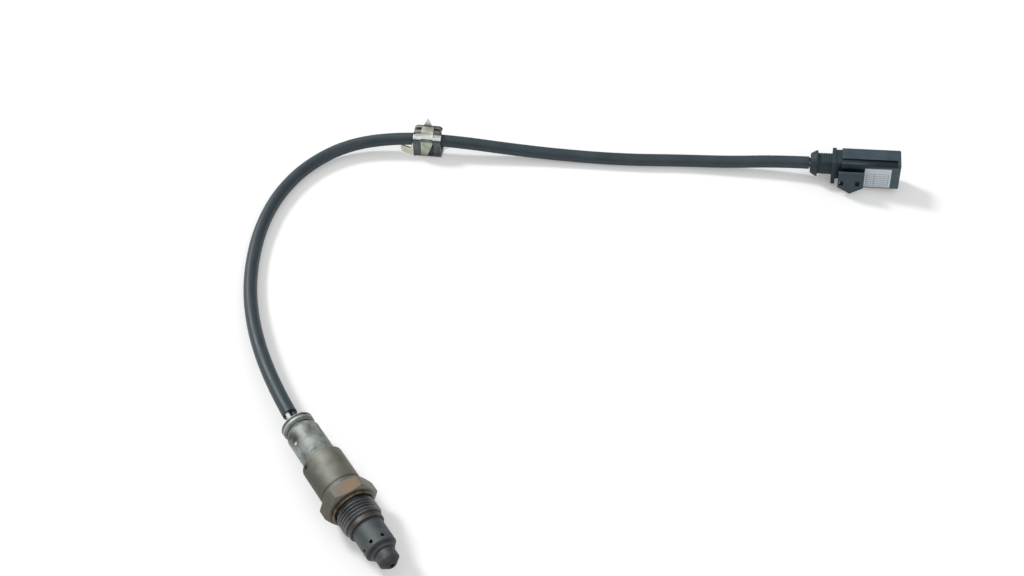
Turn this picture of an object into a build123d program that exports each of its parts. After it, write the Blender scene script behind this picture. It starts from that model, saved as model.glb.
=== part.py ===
"""Heated oxygen sensor with its cable, cable clip and plug, modelled in millimetres.

The sensor lies on its hexagon. X runs along the sensor towards its tip, Z is up, and the origin
is on the sensor's axis, in the middle of its thread.
"""
from build123d import *
from math import cos, radians, sin, sqrt, tan
import os

# Fits: the gap round a pressed or seated piece, and the larger one round a piece that slides in
press_gap = 0.05
slide_gap = 0.15

# Hexagon and thread
hex_across_flats = 22.0
hex_thickness = 6.5
hex_chamfer_angle = 30.0
hex_face_inset = 0.2
step_diameter = 19.8
step_length = 1.8
seat_neck_diameter = 16.2
seat_neck_length = 2.1
thread_diameter = 18.0
thread_length = 7.8
thread_chamfer = 0.7
groove_wall = 0.7
groove_length = 1.1
stub_wall = 1.0
stub_length = 1.9

# Bore of the housing, and the tail that carries the lower sleeve
tail_wall = 1.5
spigot_length = 5.0
chamber_diameter = 12.2
chamber_reach_past_seat = 5.0
tube_recess_depth = 3.0
crimp_lip_thickness = 1.0
crimp_lip_opening = 10.0
clamping_ring_opening = 7.0

# Seal ring: one folded strip of sheet
seal_outer_diameter = 19.8
seal_gap = 0.3
seal_thickness = 1.6
seal_sheet = 0.3
seal_outer_round = 0.35
seal_lead_in = 0.75
seal_lead_in_depth = 0.25

# Protection tubes at the tip
tube_wall = 0.5
outer_tube_diameter = 14.1
outer_tube_reach = 12.5
outer_tube_corner = 0.9
shoulder_length = 1.4
gas_hole_count = 8
gas_hole_diameter = 1.6
gas_hole_setback = 2.8
first_gas_hole_angle = 18.0
nose_diameter = 9.2
nose_length = 4.5
nose_cone_length = 2.3
nose_end_diameter = 5.2
nose_hole_diameter = 2.0
inner_hole_count = 6
inner_hole_diameter = 1.4
inner_hole_setback = 6.0

# Ceramic parts inside
element_width = 4.0
element_height = 1.3
element_behind_nose = 4.6
element_into_holder = 6.5
element_tip_taper = 0.5
front_insulator_length = 9.0
powder_length = 6.0
rear_insulator_length = 7.0
clamping_ring_thickness = 1.2

# Sleeves
sleeve_wall = 0.8
lower_sleeve_diameter = 19.1
lower_sleeve_length = 19.1
lower_sleeve_round = 1.1
stake_diameter = 3.0
stake_depth = 0.35
stake_angle = -60.0
stake_from_shoulder = 2.0
upper_sleeve_diameter = 15.4
upper_sleeve_length = 18.9
sleeve_neck_diameter = 14.3
sleeve_neck_length = 0.8
sleeve_neck_slope = 2.4
collar_groove_diameter = 13.0
collar_groove_length = 2.3
collar_groove_slope = 0.8
barrel_taper = 1.4
collar_diameter = 15.0
collar_length = 2.7
collar_band_length = 1.5
collar_slit_depth = 0.4
rear_lip = 0.45
dent_count = 3
dent_radius = 3.0
dent_depth = 0.45
dent_straight = 3.0
dent_angle = -57.0
dent_from_collar = 5.3

# Contact holder, contacts and grommet
holder_length = 9.0
holder_from_shoulder = 2.0
holder_band_sheet = 0.6
holder_band_length = 5.0
contact_width = 1.2
contact_sheet = 0.25
crimp_length = 3.2
crimp_gap = 0.4

# Leads
lead_diameter = 1.9
lead_core_diameter = 1.1
lead_gap = 0.5
lead_in_hose = 1.5
exposed_lead_length = 6.7

# Hose: its outer skin, and its route from the sensor to the plug, chosen along the table
hose_wall = 0.5
hose_play = 0.25
hose_route = [
    (-64.0, 0.0, 0.0),
    (-82.0, 1.2, -0.7),
    (-113.5, 7.0, -3.4),
    (-142.5, 16.5, -6.2),
    (-166.0, 28.5, -7.5),
    (-187.5, 44.0, -7.5),
    (-205.5, 63.5, -7.5),
    (-217.0, 87.0, -7.2),
    (-218.0, 113.5, -5.6),
    (-203.5, 139.0, -2.6),
    (-183.0, 163.0, -2.6),
    (-163.0, 187.5, -5.8),
    (-143.5, 211.0, -7.4),
    (-124.0, 234.5, -7.5),
    (-107.0, 259.0, -7.5),
    (-89.6, 280.2, -6.3),
    (-74.2, 300.6, -4.31),
    (-62.25, 312.55, -2.53),
]

# Clip: one folded strip of spring steel round the hose, between two points of the route
clip_point_count = 10
clip_shift = 1.0
clip_sheet = 0.8
clip_width = 15.4
clip_side_gap = 0.8
clip_top_gap = 0.2
clip_bend = 2.4
clip_small_bend = 0.6
clip_roll_start = -1.8
clip_roll_width = 2.7
clip_roll_pitch = 3.9
clip_roll_slope = 0.5
clip_roll_rise = 2.2
clip_roll_round = 0.45
clip_base_rise = 2.4
clip_base_slope = 1.0
clip_lance_sheet = 0.6
clip_lance_width = 6.6
clip_lance_slot = 0.5
clip_lance_lift = 0.75
clip_lance_foot = 2.6
clip_lance_tip = 2.2
clip_lance_turn = 0.9
clip_lance_shoulder = 1.6
clip_bridge_front = -3.4
clip_bridge_overlap = 0.1
clip_arrow_height = 6.0
clip_arrow_width = 4.5
clip_ear_length = 9.0
clip_ear_height = 4.6
clip_gusset_width = 2.8
clip_gusset_drop = 1.0
clip_ear_angle = 20.0

# Plug: s runs along its axis from the end of the boot, q across it, z up from its underside
boot_gap = 0.6
boot_length = 3.8
boot_wall = 1.35
boot_rim_diameter = 13.9
boot_rim_length = 0.9
boot_play = 0.45
cap_axis_rise = 2.0
cap_neck_round = 3.0
cap_neck_length = 7.6
cap_wall = 1.2
cap_seal_margin = 0.35
cap_rib_count = 5
cap_rib_pitch = 1.3
cap_rib_depth = 0.12
flange_thickness = 2.0
flange_bottom_height = 1.5
cap_block_length = 3.0
cap_block_step = 0.9
cap_spigot_length = 2.6
plug_length = 30.5
plug_depth = 13.2
plug_height = 16.6
plug_wall = 1.3
plug_rear_wall = 3.0
plug_edge_round = 0.9
rim_band_length = 1.6
top_groove_width = 3.0
top_groove_depth = 0.9
top_groove_front_land = 1.3
bracket_length = 13.4
bracket_overhang = 1.5
bracket_offset = 4.0
bracket_thickness = 1.3
bracket_web = 1.2
bracket_shoulder_height = 4.2
bracket_drop = 2.4
bracket_web_drop = 3.0
bracket_window_width = 2.0
bracket_window_height = 2.8
bracket_window_middle = 7.1
bracket_window_rear = 1.8
bracket_window_pitch = 8.4
block_length = 9.5
block_entry = 1.5
pin_size = 1.6
pin_pitch = 4.8
pin_reach = 10.0
seal_block_length = 6.2
label_length = 13.7
label_height = 12.6
label_sheet = 0.12
label_from_bracket = 0.3
label_from_bottom = 1.15

# Places along the sensor, worked out from the lengths above
table_height = -hex_across_flats / 2
lead_spread = (lead_diameter + lead_gap) / 2
hose_bore_radius = lead_spread * sqrt(2) + lead_diameter / 2 + hose_play
hose_radius = hose_bore_radius + hose_wall
seat = -seat_neck_length - thread_length / 2
hex_rear = seat - hex_thickness
step_rear = hex_rear - step_length
thread_start = seat + seat_neck_length
chamber_front = seat + chamber_reach_past_seat
powder_front = chamber_front - front_insulator_length
rear_block_front = powder_front - powder_length
ring_front = rear_block_front - rear_insulator_length
tail_rear = ring_front - clamping_ring_thickness - crimp_lip_thickness
thread_end = thread_start + thread_length
groove_end = thread_end + groove_length
stub_end = groove_end + stub_length
recess_bottom = stub_end - tube_recess_depth
outer_tube_corner_x = stub_end + outer_tube_reach
nose_start = outer_tube_corner_x + shoulder_length
nose_cone_start = nose_start + nose_length
nose_end = nose_cone_start + nose_cone_length
shoulder_rear = step_rear - lower_sleeve_length
barrel_rear = shoulder_rear - upper_sleeve_length
collar_front = barrel_rear - collar_groove_length
collar_rear = collar_front - collar_length
element_front = nose_end - element_behind_nose
holder_front = shoulder_rear + holder_from_shoulder
element_rear = holder_front - element_into_holder
holder_rear = holder_front - holder_length
crimp_front = holder_rear - crimp_gap
crimp_rear = crimp_front - crimp_length
grommet_front = crimp_rear - press_gap
hose_start = collar_rear - exposed_lead_length
upper_bore_radius = upper_sleeve_diameter / 2 - sleeve_wall
collar_bore_radius = collar_groove_diameter / 2 - sleeve_wall
neck_bore_radius = sleeve_neck_diameter / 2 - sleeve_wall
holder_radius = neck_bore_radius - press_gap - holder_band_sheet - press_gap
tube_radius = outer_tube_diameter / 2
recess_radius = tube_radius + press_gap

# Places along the plug
neck_front = boot_length + cap_neck_length
flange_front = neck_front + flange_thickness
block_front = flange_front + cap_block_length
plug_front = block_front + plug_length
cavity_rear = block_front + plug_rear_wall
terminal_front = cavity_rear + block_length
bracket_rear = block_front - bracket_overhang
bracket_front = bracket_rear + bracket_length
bracket_face = -plug_depth / 2 - bracket_offset
cap_axis_height = plug_height / 2 + cap_axis_rise
cap_neck_size = pin_pitch + lead_diameter + 2 * (cap_wall + cap_seal_margin)
cap_bore_size = cap_neck_size - 2 * cap_wall
cap_bore_round = cap_neck_round - cap_wall
mouth_depth = plug_depth - 2 * plug_wall
mouth_height = plug_height - 2 * plug_wall - top_groove_depth

# Clip, from the hose that it holds
clip_half_depth = hose_radius + clip_side_gap + clip_sheet
clip_top_height = hose_radius + clip_top_gap + clip_sheet


def turned(points):
    """Solid turned about X from an outline of (x, radius) points."""
    return revolve(make_face(Polyline(*points, close=True)), Axis.X)


def rod(start, end, diameter):
    """Plain round rod along X."""
    return turned([(start, 0), (start, diameter / 2), (end, diameter / 2), (end, 0)])


def crosswise(x):
    """Plane square to the sensor's axis, with local x along Y and local y up."""
    return Plane(origin=(x, 0, 0), x_dir=(0, 1, 0), z_dir=(1, 0, 0))


def around(angle, radius, x):
    """Place on a cylinder round X, turned from straight up towards Y, its z pointing outwards."""
    a = radians(angle)
    outward = (0, sin(a), cos(a))
    return Plane(origin=(x, radius * sin(a), radius * cos(a)), x_dir=(1, 0, 0), z_dir=outward)


def drilled(count, first_angle, radius, x, diameter):
    """Ring of round holes through a tube's wall."""
    return [
        around(first_angle + 360 / count * k, radius, x) * Cylinder(diameter / 2, 4 * tube_wall)
        for k in range(count)
    ]


def element_slot(start, end, gap):
    """Straight slot that the ceramic strip passes through."""
    return crosswise(start) * extrude(
        Rectangle(element_width + 2 * gap, element_height + 2 * gap), end - start
    )


def hexagon():
    """Hexagon with a 30 degree chamfer on both ends, two flats level."""
    prism = crosswise(hex_rear) * extrude(
        RegularPolygon(hex_across_flats / 2, 6, major_radius=False), hex_thickness
    )
    face_radius = hex_across_flats / 2 - hex_face_inset
    corner_radius = hex_across_flats / sqrt(3) + 2 * hex_face_inset
    rise = (corner_radius - face_radius) * tan(radians(hex_chamfer_angle))
    limit = turned([
        (hex_rear, 0),
        (hex_rear, face_radius),
        (hex_rear + rise, corner_radius),
        (seat - rise, corner_radius),
        (seat, face_radius),
        (seat, 0),
    ])
    return prism & limit


def hex_housing():
    """Steel shell: hexagon, threaded stem, stub for the tubes, and tail for the sleeve."""
    spigot_radius = lower_sleeve_diameter / 2 - sleeve_wall - press_gap
    tail_radius = chamber_diameter / 2 + tail_wall
    groove_radius = recess_radius + groove_wall
    stub_radius = recess_radius + stub_wall
    throat_radius = nose_diameter / 2 - tube_wall
    stem = turned([
        (tail_rear, 0),
        (tail_rear, tail_radius - 0.6),
        (tail_rear + 0.6, tail_radius),
        (step_rear - spigot_length, tail_radius),
        (step_rear - spigot_length + 0.5, spigot_radius),
        (step_rear, spigot_radius),
        (step_rear, step_diameter / 2),
        (hex_rear, step_diameter / 2),
        (seat, seat_neck_diameter / 2),
        (thread_start, seat_neck_diameter / 2),
        (thread_start + thread_chamfer, thread_diameter / 2),
        (thread_end - thread_chamfer, thread_diameter / 2),
        (thread_end, thread_diameter / 2 - thread_chamfer),
        (thread_end, groove_radius),
        (groove_end, groove_radius),
        (groove_end, stub_radius),
        (stub_end - 0.3, stub_radius),
        (stub_end, stub_radius - 0.3),
        (stub_end, 0),
    ])
    bore = turned([
        (tail_rear, 0),
        (tail_rear, crimp_lip_opening / 2),
        (tail_rear + crimp_lip_thickness, crimp_lip_opening / 2),
        (tail_rear + crimp_lip_thickness, chamber_diameter / 2),
        (chamber_front, chamber_diameter / 2),
        (chamber_front, throat_radius),
        (recess_bottom, throat_radius),
        (recess_bottom, recess_radius),
        (stub_end, recess_radius),
        (stub_end, 0),
    ])
    return stem + hexagon() - bore


def seal_ring():
    """Captive seal ring, a strip folded over itself with an open slit at its inner edge."""
    outer = seal_outer_diameter / 2
    inner = seat_neck_diameter / 2 + seal_gap
    edge = seal_thickness / 2
    body = make_face(Polyline(
        (seal_lead_in_depth, inner),
        (0, inner + seal_lead_in),
        (0, outer),
        (seal_thickness, outer),
        (seal_thickness, inner + seal_lead_in),
        (seal_thickness - seal_lead_in_depth, inner),
        close=True,
    ))
    outer_corners = body.vertices().sort_by(Axis.Y)[-2:]
    body = fillet(outer_corners, seal_outer_round)
    slit = Pos(edge, inner) * Rectangle(seal_thickness - 2 * 2 * seal_sheet, 2 * edge)
    return Pos(seat, 0, 0) * revolve(body - slit, Axis.X)


def outer_tube():
    """Outer protection tube: drawn cup with eight gas holes, its end closed in on the nose."""
    r = tube_radius
    lip = nose_diameter / 2 + press_gap
    back = recess_bottom + tube_wall
    front = outer_tube_corner_x
    tube = turned([
        (back, r - tube_wall),
        (back, r),
        (front - outer_tube_corner, r),
        (front, r - outer_tube_corner),
        (nose_start, lip + tube_wall),
        (nose_start, lip),
        (nose_start - tube_wall, lip),
        (front - tube_wall, r - outer_tube_corner - tube_wall / 2),
        (front - outer_tube_corner - tube_wall / 2, r - tube_wall),
    ])
    return tube - drilled(
        gas_hole_count, first_gas_hole_angle, r, front - gas_hole_setback, gas_hole_diameter
    )


def inner_tube():
    """Inner protection tube: flanged, six gas holes, and a nose with a tapered end."""
    r = nose_diameter / 2
    end = nose_end_diameter / 2
    tube = turned([
        (recess_bottom, r - tube_wall),
        (recess_bottom, tube_radius),
        (recess_bottom + tube_wall, tube_radius),
        (recess_bottom + tube_wall, r),
        (nose_cone_start, r),
        (nose_end - 0.5, end),
        (nose_end, end - 0.6),
        (nose_end, nose_hole_diameter / 2),
        (nose_end - tube_wall, nose_hole_diameter / 2),
        (nose_end - tube_wall, end - 0.7),
        (nose_cone_start, r - tube_wall),
    ])
    holes_x = stub_end + inner_hole_setback
    return tube - drilled(inner_hole_count, 0, r, holes_x, inner_hole_diameter)


def sensing_element():
    """Laminated ceramic strip with a thinned tip."""
    middle = (element_front + element_rear) / 2
    strip = Pos(middle, 0, 0) * Box(element_front - element_rear, element_width, element_height)
    return chamfer(strip.faces().sort_by(Axis.X)[-1].edges(), element_tip_taper)


def insulator(front, length, gap):
    """Round block that fills the chamber, with the slot for the strip."""
    rear = front - length
    return rod(rear, front, chamber_diameter - 2 * press_gap) - element_slot(rear, front, gap)


def front_insulator():
    """Front ceramic block, on the shoulder of the chamber."""
    return insulator(chamber_front, front_insulator_length, slide_gap)


def powder_seal():
    """Pressed talc ring that seals the strip in the shell."""
    return insulator(powder_front, powder_length, press_gap)


def rear_insulator():
    """Rear ceramic block behind the talc."""
    return insulator(rear_block_front, rear_insulator_length, slide_gap)


def clamping_ring():
    """Steel ring between the rear block and the shell's crimped lip."""
    inner = clamping_ring_opening / 2
    outer = chamber_diameter / 2 - press_gap
    ring_rear = ring_front - clamping_ring_thickness
    return turned([(ring_rear, inner), (ring_rear, outer), (ring_front, outer), (ring_front, inner)])


def lower_sleeve():
    """Wide sleeve: a drawn cup pressed on the shell, its end closed in on the upper sleeve."""
    outer = lower_sleeve_diameter / 2
    hole = sleeve_neck_diameter / 2 + press_gap
    front = step_rear
    outline = make_face(Polyline(
        (front, outer - sleeve_wall),
        (front, outer),
        (shoulder_rear, outer),
        (shoulder_rear, hole),
        (shoulder_rear + sleeve_wall, hole),
        (shoulder_rear + sleeve_wall, outer - sleeve_wall),
        close=True,
    ))
    rear_corner = outline.vertices().sort_by_distance((shoulder_rear, outer))[0]
    sleeve = revolve(fillet(rear_corner, lower_sleeve_round), Axis.X)
    mark_x = shoulder_rear + stake_from_shoulder
    mark_radius = (stake_diameter ** 2 / 4 + stake_depth ** 2) / (2 * stake_depth)
    ball = around(stake_angle, outer + mark_radius - stake_depth, mark_x) * Sphere(mark_radius)
    return sleeve - ball


def crimp_dents(growth):
    """Long-ended punches that dent the upper sleeve, grown by the sheet they have pushed in."""
    radius = dent_radius + growth
    height = upper_sleeve_diameter / 2 + dent_radius - dent_depth
    dents = []
    for k in range(dent_count):
        place = around(dent_angle + 360 / dent_count * k, height, barrel_rear + dent_from_collar)
        bar = Rot(0, 90, 0) * Cylinder(radius, dent_straight)
        ends = [Pos(side * dent_straight / 2, 0, 0) * Sphere(radius) for side in (-1, 1)]
        dents.append(place * (bar + ends))
    return dents


def collar_outline(offset):
    """Outside line of the upper sleeve's rear end, moved inwards by an offset."""
    barrel = upper_sleeve_diameter / 2 - offset
    groove = collar_groove_diameter / 2 - offset
    return [
        (barrel_rear + barrel_taper, barrel),
        (barrel_rear - collar_groove_slope, groove),
        (collar_front + collar_groove_slope, groove),
    ]


def neck_outline(offset):
    """Outside line of the upper sleeve where it leaves the lower one, moved inwards by an offset."""
    neck = sleeve_neck_diameter / 2 - offset
    neck_rear = shoulder_rear - sleeve_neck_length
    return [
        (neck_rear, neck),
        (neck_rear - sleeve_neck_slope, upper_sleeve_diameter / 2 - offset),
    ]


def upper_sleeve():
    """Narrow sleeve crimped on the grommet: three dents, a rolled groove and a rimmed collar."""
    neck = sleeve_neck_diameter / 2
    collar = collar_diameter / 2
    band_end = collar_front - collar_band_length
    flange_front = shoulder_rear + 2 * sleeve_wall
    flange_radius = lower_sleeve_diameter / 2 - sleeve_wall - slide_gap
    rear_opening_radius = collar_bore_radius - rear_lip
    shell = turned([
        (flange_front, 0),
        (flange_front, flange_radius),
        (shoulder_rear + sleeve_wall, flange_radius),
        (shoulder_rear + sleeve_wall, neck),
        *neck_outline(0),
        *collar_outline(0),
        (collar_front, collar),
        (band_end, collar),
        (band_end - collar_slit_depth, collar - collar_slit_depth),
        (band_end - 2 * collar_slit_depth, collar),
        (collar_rear + 0.2, collar),
        (collar_rear, collar - 0.3),
        (collar_rear, 0),
    ])
    bore = turned([
        (flange_front, 0),
        (flange_front, neck_bore_radius),
        *neck_outline(sleeve_wall),
        *collar_outline(sleeve_wall),
        (collar_rear + sleeve_wall, collar_bore_radius),
        (collar_rear + sleeve_wall, rear_opening_radius),
        (collar_rear, rear_opening_radius),
        (collar_rear, 0),
    ])
    return shell - crimp_dents(0) - (bore - crimp_dents(sleeve_wall))


def lead_places():
    """The four leads, as (name, side across, side up)."""
    return [
        ("lead_white_upper", -1, 1),
        ("lead_white_lower", -1, -1),
        ("lead_black", 1, 1),
        ("lead_grey", 1, -1),
    ]


def wire_grommet():
    """Rubber grommet that fills the rear of the upper sleeve, with four holes for the leads."""
    front_radius = upper_bore_radius - press_gap
    rear_face = collar_rear + sleeve_wall + press_gap
    body = turned([
        (grommet_front, 0),
        (grommet_front, front_radius),
        *collar_outline(sleeve_wall + press_gap),
        (rear_face, collar_bore_radius - press_gap),
        (rear_face, 0),
    ])
    holes = [
        crosswise(rear_face) * Pos(across * lead_spread, up * lead_spread, 0)
        * extrude(Circle(lead_diameter / 2), grommet_front - rear_face)
        for _, across, up in lead_places()
    ]
    return body - crimp_dents(sleeve_wall + press_gap) - holes


def contact_holder(side):
    """Half of the ceramic holder that keeps the contacts on the strip; side is 1 up, -1 down."""
    body = rod(holder_rear, holder_front, 2 * holder_radius)
    half = Pos((holder_rear + holder_front) / 2, 0, side * holder_radius)
    body = body & half * Box(holder_length, 2 * holder_radius, 2 * (holder_radius - press_gap))
    body -= element_slot(holder_rear, holder_front, slide_gap)
    channel_height = lead_spread + 4 * contact_sheet
    for across in (-1, 1):
        channel = crosswise(holder_rear) * Pos(across * lead_spread, 0, 0)
        body -= channel * extrude(
            Rectangle(contact_width + 2 * slide_gap, 2 * channel_height), holder_length
        )
    return body


def holder_band():
    """Spring band that closes the two halves of the contact holder."""
    middle = (holder_front + holder_rear) / 2
    inner = holder_radius + press_gap
    outer = inner + holder_band_sheet
    return turned([
        (middle - holder_band_length / 2, inner),
        (middle - holder_band_length / 2, outer),
        (middle + holder_band_length / 2, outer),
        (middle + holder_band_length / 2, inner),
    ])


def contact_springs():
    """Four bowed contacts, each pressed on the strip and met by a crimp at its tail."""
    touch = element_height / 2 + contact_sheet / 2
    bow_x = (holder_front + holder_rear) / 2
    line = Polyline(
        (crimp_front, lead_spread),
        (holder_rear + 1.5, lead_spread),
        (bow_x, touch),
        (holder_front - 0.5, lead_spread),
    )
    strip = extrude(Plane.XZ * trace(line, contact_sheet), contact_width / 2, both=True)
    springs = []
    for across in (-1, 1):
        springs.append(Pos(0, across * lead_spread, 0) * strip)
        springs.append(Pos(0, across * lead_spread, 0) * mirror(strip, Plane.XY))
    return Compound(children=springs)


def crimp_sleeves():
    """Four crimped tubes that join the lead cores to the contacts."""
    tubes = [
        crosswise(crimp_rear) * Pos(across * lead_spread, up * lead_spread, 0)
        * extrude(Circle(lead_diameter / 2) - Circle(lead_core_diameter / 2), crimp_length)
        for _, across, up in lead_places()
    ]
    return Compound(children=tubes)


def plug_place():
    """Frame of the plug: its x carries on the hose's last run, its origin is under the boot."""
    end = Vector(*hose_route[-1])
    along = (end - Vector(*hose_route[-2])).normalized()
    across = Vector(0, 0, 1).cross(along).normalized()
    up = along.cross(across)
    return Plane(origin=end + along * boot_gap - up * cap_axis_height, x_dir=along, z_dir=up)


def plug_section(s):
    """Plane square to the plug's axis at s, on the axis of its neck."""
    return Plane(origin=(s, 0, cap_axis_height), x_dir=(0, 1, 0), z_dir=(1, 0, 0))


def lead(across, up):
    """One lead: its bare core and skin at the sensor, and its other end in the plug."""
    y = across * lead_spread
    z = up * lead_spread
    skin_end = hose_start - lead_in_hose
    skin = crosswise(skin_end) * Pos(y, z, 0) * extrude(
        Circle(lead_diameter / 2), grommet_front - skin_end
    )
    core = crosswise(grommet_front) * Pos(y, z, 0) * extrude(
        Circle(lead_core_diameter / 2), crimp_front - grommet_front
    )
    far_y = across * pin_pitch / 2
    far_z = up * pin_pitch / 2 + cap_axis_height
    path = FilletPolyline(
        (-boot_gap - lead_in_hose, y, z + cap_axis_height),
        (0, y, z + cap_axis_height),
        (flange_front - seal_block_length - lead_diameter / 2, far_y, far_z),
        (cavity_rear + block_entry, far_y, far_z),
        radius=4 * lead_diameter,
    )
    section = Plane(origin=path @ 0, z_dir=path % 0) * Circle(lead_diameter / 2)
    plug_end = plug_place() * sweep(section, path=path)
    return Compound(children=[skin + core, plug_end])


def hose_path():
    """Centreline of the hose: straight runs joined by arcs as large as the runs allow."""
    points = [Vector(*p) for p in hose_route]
    runs = [b - a for a, b in zip(points, points[1:])]
    radii = []
    for a, b in zip(runs, runs[1:]):
        half_turn = radians(a.get_angle(b) / 2)
        radii.append(0.45 * min(a.length, b.length) * cos(half_turn) / sin(half_turn))
    print("hose arc radii:", [round(r) for r in radii])
    return FilletPolyline(*points, radius=radii)


def cable_hose():
    """Plain round hose, a tube from end to end."""
    path = hose_path()
    start = Plane(origin=path @ 0, z_dir=path % 0)
    section = Circle(hose_radius) - Circle(hose_bore_radius)
    hose = sweep(start * section, path=path)
    area = section.area
    print("hose length %.1f, volume %.1f, section x length %.1f"
          % (path.length, hose.volume, area * path.length))
    return hose


def clip_place():
    """Frame of the clip: origin on the hose's axis, x along the hose, y away from its front."""
    a = Vector(*hose_route[clip_point_count - 1])
    b = Vector(*hose_route[clip_point_count])
    along = (b - a).normalized()
    return Plane(origin=(a + b) / 2 - along * clip_shift, x_dir=along, z_dir=(0, 0, 1))


def clip_strip(line, sheet, width):
    """Strip of sheet along a line that is given across the hose, as far each way along the hose."""
    across = Plane(origin=(0, 0, 0), x_dir=(0, 1, 0), z_dir=(1, 0, 0))
    return extrude(across * trace(line, sheet), width / 2, both=True)


def clip_loop():
    """Strip folded round the hose, from the rear of its base over the front to its two rolls."""
    bottom = table_height - clip_place().origin.Z + clip_sheet / 2
    front = -clip_half_depth + clip_sheet / 2
    top = clip_top_height - clip_sheet / 2
    points = [
        (clip_half_depth, bottom + clip_base_rise),
        (clip_half_depth - clip_base_slope, bottom),
        (front, bottom),
        (front, top),
    ]
    for k in range(2):
        y = clip_roll_start + clip_roll_pitch * k
        points += [
            (y, top),
            (y + clip_roll_slope, top + clip_roll_rise),
            (y + clip_roll_width - clip_roll_slope, top + clip_roll_rise),
            (y + clip_roll_width, top),
        ]
    bends = [clip_small_bend, clip_small_bend, clip_bend] + [clip_roll_round] * 7
    return clip_strip(FilletPolyline(*points, radius=bends), clip_sheet, clip_width)


def clip_lances(bottom):
    """Lanced tongue on the clip's front, and the bridge that runs back over its first roll."""
    front = -clip_half_depth - clip_lance_lift + clip_lance_sheet / 2
    top = clip_top_height - clip_sheet / 2
    tongue_line = FilletPolyline(
        (front + clip_lance_tip, top + clip_lance_lift),
        (front + clip_lance_turn, top),
        (front, top - clip_lance_shoulder),
        (front, bottom + clip_lance_foot),
        (front + clip_lance_lift, bottom + clip_sheet),
        radius=clip_small_bend,
    )
    tongue = clip_strip(tongue_line, clip_lance_sheet, clip_lance_width)
    half = clip_lance_width / 2
    corner = make_face(Polyline(
        (half, top - clip_lance_foot),
        (half + clip_sheet, top - clip_lance_foot),
        (half + clip_sheet, bottom - clip_sheet),
        (-half + clip_lance_foot, bottom - clip_sheet),
        close=True,
    ))
    tongue -= extrude(Plane.XZ * corner, 2 * clip_half_depth)
    height = top + clip_roll_rise + clip_sheet / 2 + clip_lance_sheet / 2 - clip_bridge_overlap
    bridge_line = FilletPolyline(
        (clip_bridge_front, top + clip_sheet / 2 + clip_lance_sheet / 2 - clip_bridge_overlap),
        (clip_roll_start + clip_roll_slope / 2, height),
        (clip_roll_start + clip_roll_pitch + clip_roll_width / 2, height),
        radius=clip_small_bend,
    )
    return tongue + clip_strip(bridge_line, clip_lance_sheet, clip_lance_width)


def clip_ear():
    """Flared ear on the clip's front panel, sloping down under the hose."""
    bottom = table_height - clip_place().origin.Z
    outline = make_face(Polyline(
        (0, bottom),
        (0, clip_top_height - clip_gusset_drop),
        (-clip_gusset_width, bottom + clip_ear_height),
        (-clip_ear_length, bottom + clip_ear_height),
        (-clip_ear_length, bottom),
        close=True,
    ))
    corner = outline.vertices().sort_by_distance((-clip_ear_length, bottom))[0]
    outline = fillet(corner, 2.0)
    ear = extrude(Plane.XZ * outline, -clip_sheet)
    hinge = Pos(-clip_width / 2 + clip_sheet, -clip_half_depth + clip_sheet / 8, 0)
    return hinge * Rot(0, 0, -clip_ear_angle) * ear


def cable_clip():
    """Spring steel clip folded round the hose: panel, two rolls, lances, ear and barbed tip."""
    bottom = table_height - clip_place().origin.Z
    slot_bottom = bottom + 2 * clip_sheet
    slot_top = clip_top_height - clip_bend
    slot = Pos(0, -clip_half_depth, (slot_top + slot_bottom) / 2) * Box(
        clip_lance_width + 2 * clip_lance_slot, 3 * clip_sheet, slot_top - slot_bottom
    )
    arrow = make_face(Polyline(
        (-clip_arrow_width / 2, 0),
        (0, clip_arrow_height),
        (clip_arrow_width / 2, 0),
        close=True,
    ))
    arrow_place = Pos(
        0,
        clip_roll_start + clip_roll_pitch + (clip_roll_width + clip_sheet) / 2,
        clip_top_height + clip_roll_rise - clip_sheet / 2,
    )
    arrow = arrow_place * extrude(Plane.XZ * arrow, clip_sheet)
    return clip_place() * (clip_loop() - slot + clip_lances(bottom) + arrow + clip_ear())


def plug_boot():
    """Flared ring that closes the rear of the plug round the leads."""
    rim_start = boot_length - boot_rim_length
    bore = hose_radius + boot_play
    ring = turned([
        (0, bore),
        (0, bore + boot_wall),
        (rim_start, boot_rim_diameter / 2),
        (boot_length, boot_rim_diameter / 2),
        (boot_length, bore),
    ])
    return plug_place() * Pos(0, 0, cap_axis_height) * ring


def rounded_bar(start, end, width, height, radius):
    """Bar along the plug's axis with a rounded rectangle for its section."""
    return plug_section(start) * extrude(RectangleRounded(width, height, radius), end - start)


def plug_rear_cap():
    """Rear cap: ribbed neck, flange, block and the spigot that enters the housing."""
    neck = rounded_bar(boot_length, neck_front, cap_neck_size, cap_neck_size, cap_neck_round)
    rib_groove = cap_rib_pitch / 2
    for k in range(cap_rib_count):
        start = boot_length + cap_rib_pitch * (k + 0.6)
        ring = rounded_bar(
            start, start + rib_groove, cap_neck_size + 1, cap_neck_size + 1, cap_neck_round
        )
        core_size = cap_neck_size - 2 * cap_rib_depth
        ring -= rounded_bar(start, start + rib_groove, core_size, core_size, cap_neck_round)
        neck -= ring
    flange_height = plug_height - flange_bottom_height
    flange_middle = (plug_height + flange_bottom_height) / 2 - cap_axis_height
    flange = plug_section(neck_front) * Pos(0, flange_middle, 0) * extrude(
        RectangleRounded(plug_depth, flange_height, plug_edge_round), flange_thickness
    )
    block_size = cap_neck_size + 2 * cap_block_step
    block = rounded_bar(flange_front, block_front, block_size, block_size, plug_edge_round)
    spigot_end = block_front + cap_spigot_length
    spigot = rounded_bar(block_front, spigot_end, cap_neck_size, cap_neck_size, cap_neck_round)
    bore = rounded_bar(boot_length, spigot_end, cap_bore_size, cap_bore_size, cap_bore_round)
    return plug_place() * (neck + flange + block + spigot - bore)


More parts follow.
